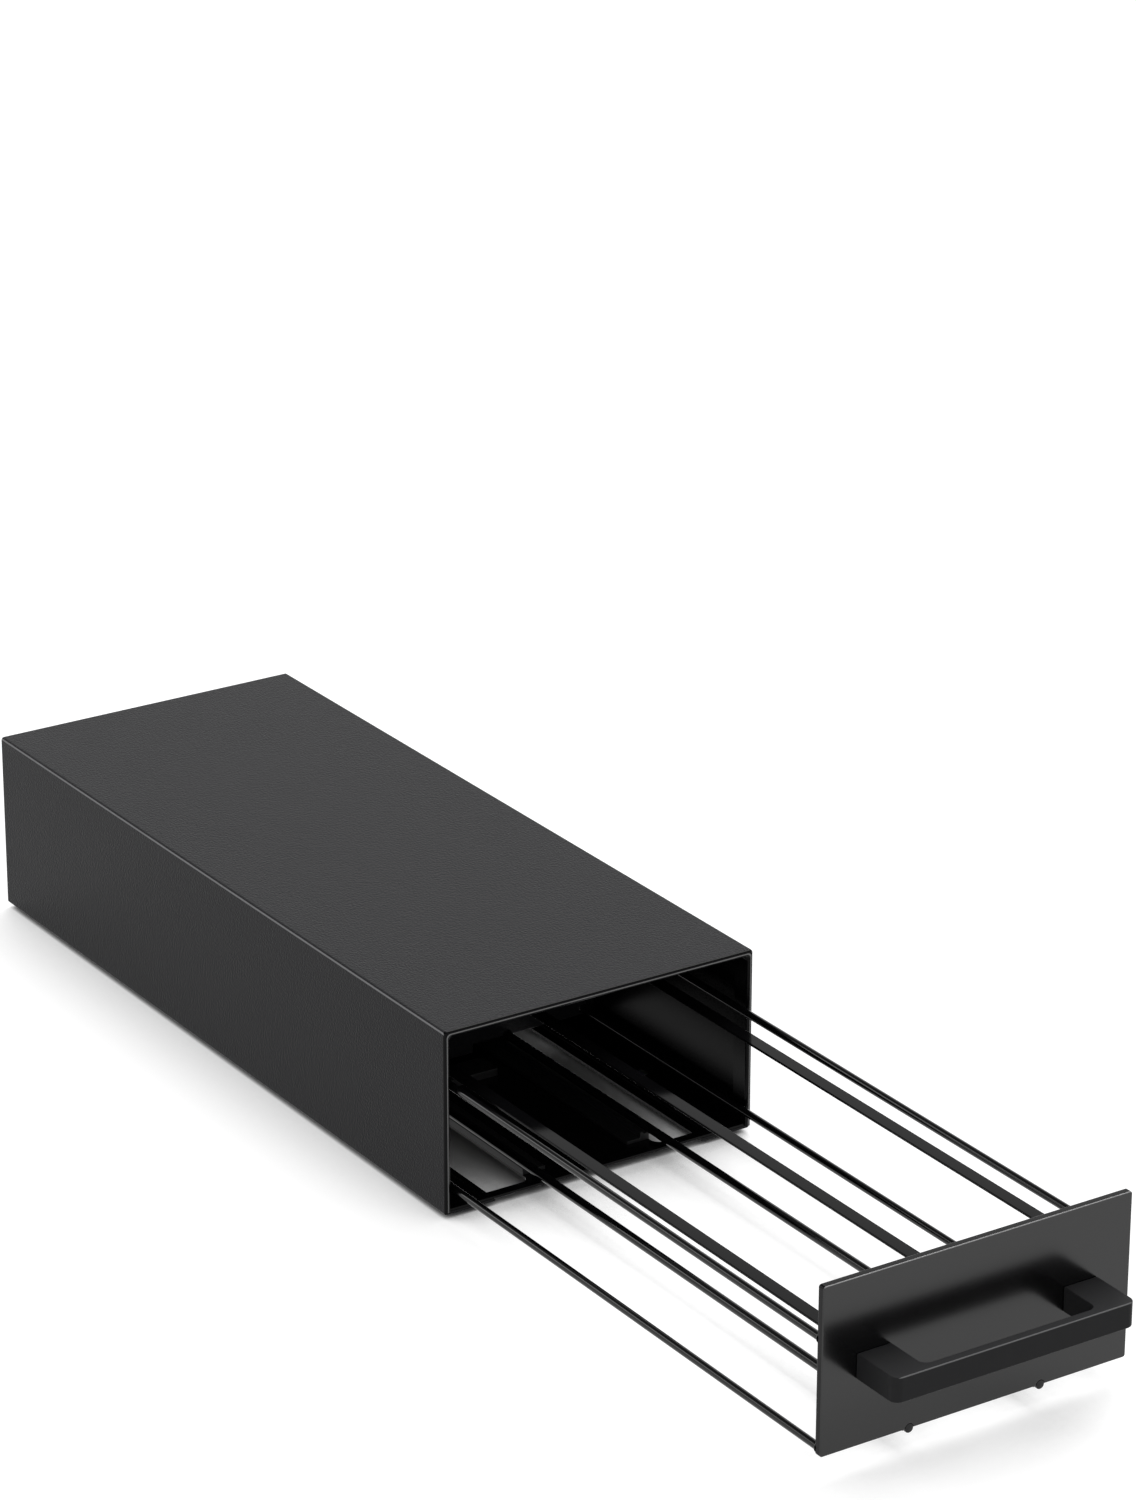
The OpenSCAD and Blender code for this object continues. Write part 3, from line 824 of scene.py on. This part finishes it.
        # The border's faces have four corners, and the one inside it has more
        for width, depth in ((self.foot_border, 0.0), (self.foot_dish_w, -self.foot_dish_d)):
            under = [f for f in shape.bm.faces if f.normal.z < DOWNWARD and len(f.verts) > 4]
            bmesh.ops.inset_region(shape.bm, faces=under, thickness=width, depth=depth)
        shape.soften(self.foot_edge_r, where=lambda e: max(v.co.z for v in e.verts) < high.z - NEAR)
        shape.finish(f"{node}_pad", DULL_RUBBER, Body.HOUSING, [node])


# ---- Drawer ----


@dataclass
class Drawer:
    """The drawer: front plate with its handle, rear plate, and the strips and wires between them."""

    plate_edge_r: float = 0.35
    plate_corner_r: float = 1.0
    notch_gap: float = 0.06
    # How far the painted highlight keeps off the flat faces beside a rounded edge
    highlight_margin: float = 0.01
    weld_grow: float = 0.45
    weld_l: float = 0.9
    weld_swell: float = 1.4
    # Shares of weld_grow and of weld_l
    weld_curve: Profile = ((1.0, 0.0), (0.45, 0.25), (0.12, 0.6), (0.0, 1.0))
    # Distance inside the wire's surface, and along it
    wire_tip: Profile = ((0.3, 0.0), (0.08, 0.09), (0.0, 0.3))
    wire_steps: int = 28
    strip_edge_r: float = 0.22
    handle_leg_w: float = 14.4
    handle_bar_t: float = 3.8
    handle_corner_r: float = 3.4
    handle_inner_r: float = 3.3
    handle_edge_r: float = 0.45
    screw_d: float = 4.0
    screw_tip: float = 0.5
    screw_head_d: float = 7.6
    screw_head_h: float = 2.4
    # Distance inside the head's side, and depth below its face
    screw_dome: Profile = ((0.0, 1.3), (0.2, 0.7), (0.7, 0.2), (1.5, 0.0))
    screw_steps: int = 32
    slot_w: float = 1.0
    slot_d: float = 0.9
    tongue_w: float = 24.0
    tongue_r: float = 0.5
    tongue_root_r: float = 0.3
    glide_foot_r: float = 0.5
    glide_top_r: float = 0.9
    glide_edge_r: float = 0.35

    def __post_init__(self) -> None:
        """Reads the places of the drawer's own nodes."""
        self.plate = Box.of("front_plate")
        self.rear = Box.of("rear_plate")
        self.bottom_wires = {side: Box.of(f"bottom_wire_{side.word}") for side in Side}

    def build(self) -> None:
        """Makes every piece of the drawer."""
        self.make_plate("front_plate", self.plate, SATIN_COAT, EDGE_COAT, tongue=False)
        # The rear plate's cut edges take the darker coat: painted shade
        self.make_plate("rear_plate", self.rear, TEXTURED_COAT, SHADED_COAT, tongue=True)
        self.make_handle()
        self.make_screws()
        for name in ("left", "centre", "right"):
            self.make_strip(f"strip_{name}")
        for side in Side:
            for level in ("upper", "lower", "bottom"):
                self.make_wire(f"{level}_wire_{side.word}", through=level == "bottom")
            self.make_glide(side)

    def plate_stops(self, box: Box, tongue: bool) -> list[Stop]:
        """Lists the outline of a plate.

        Args:
            box: the plate's box.
            tongue: whether the plate has the tongue under it.
        Returns:
            The stops, from the lower left corner along the lower edge.
        """
        at = in_xz(box.low.y)
        z_low = self.bottom_wires[Side.LEFT].mid.z
        stops = [at(box.low.x, z_low, self.plate_corner_r)]
        for side in Side:
            wire = self.bottom_wires[side]
            x, radius = wire.mid.x, (wire.high.x - wire.low.x) / 2 + self.notch_gap
            centre = Vector((x, box.low.y, z_low))
            stops.append(at(x - radius, z_low))
            stops.append(Stop(centre + RIGHT * radius, centre=centre, turn=math.pi))
            if tongue and side is Side.LEFT:
                half = self.tongue_w / 2
                stops += [
                    at(-half, z_low, self.tongue_root_r), at(-half, box.low.z, self.tongue_r),
                    at(half, box.low.z, self.tongue_r), at(half, z_low, self.tongue_root_r),
                ]
        corners = ((box.high.x, z_low), (box.high.x, box.high.z), (box.low.x, box.high.z))
        return stops + [at(x, z, self.plate_corner_r) for x, z in corners]

    def make_plate(self, node: str, box: Box, finish: Finish, edge_finish: Finish, tongue: bool) -> None:
        """Makes a plate, with half-round notches in which the bottom wires lie.

        Args:
            node: the CAD node it stands for.
            box: the node's box.
            finish: of its faces.
            edge_finish: of its cut edges.
            tongue: whether the plate has the tongue under it.
        """
        shape = Shape(steps=5)
        thick = box.high.y - box.low.y
        shape.prism(self.plate_stops(box, tongue), BACK * thick)
        shape.soften(min(self.plate_edge_r, thick / 5), segments=3, where=lies_across(BACK))
        # A painted highlight along the plate's top front edge, above the handle
        margin, reach = self.highlight_margin, self.plate_edge_r - self.highlight_margin
        shape.rub(lambda place: margin < place.y - box.low.y < reach and place.z > box.high.z - reach)
        shape.finish(
            f"{node}_sheet", finish, Body.DRAWER, [node],
            trim=edge_finish, is_trim=lambda middle: abs(middle.y - box.mid.y) < thick / 4,
        )

    def make_handle(self) -> None:
        """Makes the handle, a bar of rectangular section bent to a U."""
        shape = Shape(steps=8)
        low, high = Box.of("handle").low, Box.of("handle").high
        half, inner, y_bar = high.x, high.x - self.handle_leg_w, low.y + self.handle_bar_t
        at, outer_r, inner_r = in_xy(low.z), self.handle_corner_r, self.handle_inner_r
        outline = [
            at(-half, high.y), at(-half, low.y, outer_r), at(half, low.y, outer_r), at(half, high.y),
            at(inner, high.y), at(inner, y_bar, inner_r), at(-inner, y_bar, inner_r), at(-inner, high.y),
        ]
        shape.prism(outline, UP * (high.z - low.z))
        shape.soften(self.handle_edge_r, segments=3)
        # A painted highlight along the handle's top front edge
        margin, reach = self.highlight_margin, self.handle_edge_r
        shape.rub(lambda place: margin < high.z - place.z < reach - margin and place.y < low.y + reach)
        shape.finish("handle_bar", MATTE_COAT, Body.DRAWER, ["handle"])

    def make_screws(self) -> None:
        """Makes the two slotted pan head screws behind the front plate."""
        shape = Shape()
        box = Box.of("handle_screws")
        shank, head = self.screw_d / 2, self.screw_head_d / 2
        length = box.high.y - box.low.y
        seat = length - self.screw_head_h
        tip, middles = self.screw_tip, (box.low.x + head, box.high.x - head)
        profile = [(0.0, 0.0), (shank - tip, 0.0), (shank, tip), (shank, seat), (head, seat)]
        profile += [(head - inside, length - depth) for inside, depth in self.screw_dome]
        profile.append((0.0, length))
        for middle in middles:
            shape.turned(profile, Vector((middle, box.low.y, box.mid.z)), BACK, steps=self.screw_steps)
        y_slot, half = box.high.y - self.slot_d, self.slot_w / 2
        for level, axis in ((box.mid.z + half, UP), (box.mid.z - half, UP), (y_slot, BACK)):
            bmesh.ops.bisect_plane(
                shape.bm, geom=shape.bm.verts[:] + shape.bm.edges[:] + shape.bm.faces[:],
                dist=SAME / 10, plane_co=axis * level, plane_no=axis,
            )
        gone = [
            f for f in shape.bm.faces
            if f.calc_center_median().y > y_slot + SAME
            and abs(f.calc_center_median().z - box.mid.z) < half - SAME
        ]
        bmesh.ops.delete(shape.bm, geom=gone, context="FACES")
        border = [e for e in shape.bm.edges if len(e.link_faces) == 1]
        foot = {v for e in border for v in e.verts if abs(v.co.y - y_slot) < SAME}
        for middle in middles:
            for sign in (-1, 1):
                z = box.mid.z + sign * half
                row = [
                    v for v in foot
                    if abs(v.co.x - middle) < head + NEAR and abs(v.co.z - z) < 10 * SAME
                ]
                row.sort(key=lambda v: v.co.x)
                border.append(shape.bm.edges.new((row[0], row[-1])))
        bmesh.ops.edgenet_fill(shape.bm, edges=border)
        shape.finish("handle_screw_pair", ZINC_PLATE, Body.DRAWER, ["handle_screws"])

    def make_strip(self, node: str) -> None:
        """Makes a flat strip, rolled with rounded edges and a little upset where it is welded."""
        shape = Shape(steps=3)
        box = Box.of(node)
        low, high = box.low, box.high
        faces = shape.fill(shape.path(rectangle(in_xz(low.y), *low.xz, *high.xz, self.strip_edge_r)))
        for length in (self.weld_l, high.y - low.y - 2 * self.weld_l, self.weld_l):
            faces = shape.extrude(faces, BACK * length)
        shape.weld()
        wider = 1 + 2 * self.weld_grow / (high.x - low.x)
        for end in (low.y, high.y):
            verts = [v for v in shape.bm.verts if abs(v.co.y - end) < SAME]
            bmesh.ops.scale(
                shape.bm, vec=(wider, 1, self.weld_swell), verts=verts,
                space=Matrix.Translation(-Vector((box.mid.x, end, box.mid.z))),
            )
        shape.finish(f"{node}_bar", DIP_COAT, Body.DRAWER, [node])

    def make_wire(self, node: str, through: bool) -> None:
        """Makes a wire with the weld upsets where it meets the plates.

        Args:
            node: the CAD node it stands for.
            through: whether its ends run through the notches to the plates' outer faces.
        """
        shape = Shape()
        box = Box.of(node)
        radius, length = (box.high.x - box.low.x) / 2, box.high.y - box.low.y
        flare = [(radius + self.weld_grow * out, self.weld_l * along) for out, along in self.weld_curve]
        if through:
            tip = [(0.0, 0.0)] + [(radius - inside, along) for inside, along in self.wire_tip]
            front, rear = (
                tip + [(radius, thick)] + [(r, thick + y) for r, y in flare]
                for thick in (plate.high.y - plate.low.y for plate in (self.plate, self.rear))
            )
        else:
            front = rear = [(0.0, 0.0)] + flare
        profile = front + [(r, length - y) for r, y in reversed(rear)]
        shape.turned(profile, Vector((box.mid.x, box.low.y, box.mid.z)), BACK, steps=self.wire_steps)
        shape.finish(f"{node}_rod", WIRE_COAT, Body.DRAWER, [node])

    def make_glide(self, side: Side) -> None:
        """Makes a nylon clip over the rear plate's top edge."""
        shape = Shape(steps=4)
        node = f"top_glide_{side.word}"
        low, high, plate = Box.of(node).low, Box.of(node).high, self.rear
        at, foot, top = in_yz(low.x), self.glide_foot_r, self.glide_top_r
        shape.prism(
            [
                at(low.y, low.z, foot), at(low.y, high.z, top), at(high.y, high.z, top),
                at(high.y, low.z, foot), at(plate.high.y, low.z), at(plate.high.y, plate.high.z),
                at(plate.low.y, plate.high.z), at(plate.low.y, low.z),
            ],
            RIGHT * (high.x - low.x),
        )
        shape.soften(self.glide_edge_r, where=lies_across(RIGHT))
        shape.finish(f"{node}_clip", MOULDED_NYLON, Body.DRAWER, [node])


# ---- Studio ----


@dataclass
class Studio:
    """A pale floor, two soft lamps above it, and the camera."""

    focal_px: float = 5254.03
    frame_h_px: float = 1500.0
    sensor: float = 36.0
    clip: tuple[float, float] = (0.05, 50.0)
    eye: Point = (-0.98261, -1.52301, 0.88163)
    yaw: float = 33.248
    pitch: float = 21.801
    roll: float = -0.1036
    floor_half: float = 6.0
    floor_colour: str = "b0b0b0"
    floor_glow: float = 0.82
    floor_mirrored_glow: float = 0.6
    shade_reach: float = 0.12
    shade_samples: int = 16
    dark_below: float = 0.1
    white_above: float = 0.76
    key_strength: float = 1.6
    key_spread: float = 40.0
    key_from: Point = (0.45, 0.25, 0.857)
    edge_strength: float = 0.1
    edge_spread: float = 14.0
    edge_from: Point = (-0.5, 0.776, 0.38)
    ambient: float = 0.45
    # The sky's colours by height
    sky: tuple[tuple[float, str], ...] = (
        (0.0, "ffffff"), (0.12, "fcfcfc"), (0.44, "f8f8f8"), (0.64, "6c6c6c"), (1.0, "4c4c4c"),
    )

    def build(self) -> None:
        """Sets up the camera, floor, lamps and surroundings."""
        self.make_camera()
        self.make_floor()
        self.make_lamp("key_lamp", self.key_strength, self.key_spread, self.key_from)
        self.make_lamp("edge_lamp", self.edge_strength, self.edge_spread, self.edge_from)
        self.make_world()
        bpy.context.scene.view_settings.view_transform = "Standard"

    def make_camera(self) -> None:
        """Places the camera and turns it by yaw, pitch and roll."""
        lens = bpy.data.cameras.new("camera")
        lens.sensor_width = self.sensor
        lens.lens = self.focal_px * self.sensor / self.frame_h_px
        lens.clip_start, lens.clip_end = self.clip
        camera = add_object("camera", lens)
        place = Matrix.Translation(self.eye)
        for degrees, axis in ((-self.yaw, "Z"), (90 - self.pitch, "X"), (-self.roll, "Z")):
            place = place @ Matrix.Rotation(math.radians(degrees), 4, axis)
        camera.matrix_world = place
        bpy.context.scene.camera = camera

    def make_floor(self) -> None:
        """Makes the floor, white in the open, with painted shade in narrow gaps, and clear from below."""
        bm = bmesh.new()
        bmesh.ops.create_grid(bm, x_segments=1, y_segments=1, size=self.floor_half)
        mesh = bpy.data.meshes.new("floor")
        bm.to_mesh(mesh)
        bm.free()
        floor = add_object("floor", mesh)
        made = bpy.data.materials.new("matte_white_board")
        tree = empty_tree(made)
        board = add_node(tree, "BsdfDiffuse", {"Color": linear(self.floor_colour)}).outputs[0]
        path = add_node(tree, "LightPath").outputs
        mirrored = add_node(
            tree, "Math", {"operation": "MAXIMUM"},
            {0: path["Is Glossy Ray"], 1: path["Is Transmission Ray"]},
        ).outputs[0]
        dimmed = {"operation": "MULTIPLY", 1: self.floor_mirrored_glow}
        mirrored = add_node(tree, "Math", dimmed, {0: mirrored}).outputs[0]
        # The camera's glow is dimmed by ambient occlusion: painted shade in gaps and under things
        gaps = {"samples": self.shade_samples, "Distance": self.shade_reach}
        openness = add_node(tree, "AmbientOcclusion", gaps).outputs["AO"]
        limits = {"From Min": self.dark_below, "From Max": self.white_above}
        shade = add_node(
            tree, "MapRange", {"interpolation_type": "SMOOTHSTEP", **limits}, {"Value": openness}
        ).outputs["Result"]
        camera = path["Is Camera Ray"]
        seen = add_node(tree, "Math", {"operation": "MULTIPLY"}, {0: camera, 1: shade}).outputs[0]
        scaled = {"operation": "MULTIPLY_ADD", 1: self.floor_glow}
        glow = add_node(tree, "Math", scaled, {0: seen, 2: mirrored}).outputs[0]
        lit = add_node(tree, "Emission", {"Color": linear("ffffff")}, {"Strength": glow}).outputs[0]
        both = add_node(tree, "AddShader", None, {0: board, 1: lit}).outputs[0]
        clear = add_node(tree, "BsdfTransparent").outputs[0]
        under = add_node(tree, "NewGeometry").outputs["Backfacing"]
        mixed = add_node(tree, "MixShader", None, {0: under, 1: both, 2: clear}).outputs[0]
        add_node(tree, "OutputMaterial", None, {"Surface": mixed})
        mesh.materials.append(made)

    def make_lamp(self, name: str, strength: float, spread: float, direction: Point) -> None:
        """Hangs a large soft lamp far away, so that it lights the whole floor evenly.

        Args:
            name: the lamp's name.
            strength: its light on a surface that faces it, in watts per square metre.
            spread: how wide it looks, in degrees.
            direction: where it hangs, seen from the object.
        """
        lamp = bpy.data.lights.new(name, "SUN")
        lamp.energy = strength
        lamp.angle = math.radians(spread)
        hung = add_object(name, lamp)
        towards = Vector(direction).normalized()
        hung.location = towards
        hung.rotation_euler = towards.to_track_quat("Z", "Y").to_euler()

    def make_world(self) -> None:
        """Makes the surroundings: white to the camera, and to gloss bright low down and dark above."""
        world = bpy.data.worlds.new("surroundings")
        bpy.context.scene.world = world
        tree = empty_tree(world)
        way = add_node(tree, "TexCoord").outputs["Generated"]
        height = add_node(tree, "SeparateXYZ", None, {0: way}).outputs["Z"]
        ramp = add_node(tree, "ValToRGB", None, {"Fac": height})
        bands = ramp.color_ramp
        bands.interpolation = "EASE"
        while len(bands.elements) < len(self.sky):
            bands.elements.new(0.5)
        for element, (place, code) in zip(bands.elements, self.sky):
            element.position = place
            element.color = linear(code)
        room = add_node(tree, "Background", {"Strength": 1.0}, {"Color": ramp.outputs["Color"]})
        plain = add_node(tree, "Background", {"Color": linear("ffffff"), "Strength": 1.0})
        soft = add_node(tree, "Background", {"Color": linear("ffffff"), "Strength": self.ambient})
        path = add_node(tree, "LightPath").outputs
        mixed = room
        for ray, shader in (("Is Diffuse Ray", soft), ("Is Camera Ray", plain)):
            links = {0: path[ray], 1: mixed.outputs[0], 2: shader.outputs[0]}
            mixed = add_node(tree, "MixShader", None, links)
        add_node(tree, "OutputWorld", None, {"Surface": mixed.outputs[0]})


def main() -> None:
    """Builds the scene in order."""
    logging.basicConfig(level=logging.INFO, format="%(name)s: %(message)s")
    Studio().build()
    Housing().build()
    Drawer().build()


if __name__ == "__main__":
    main()
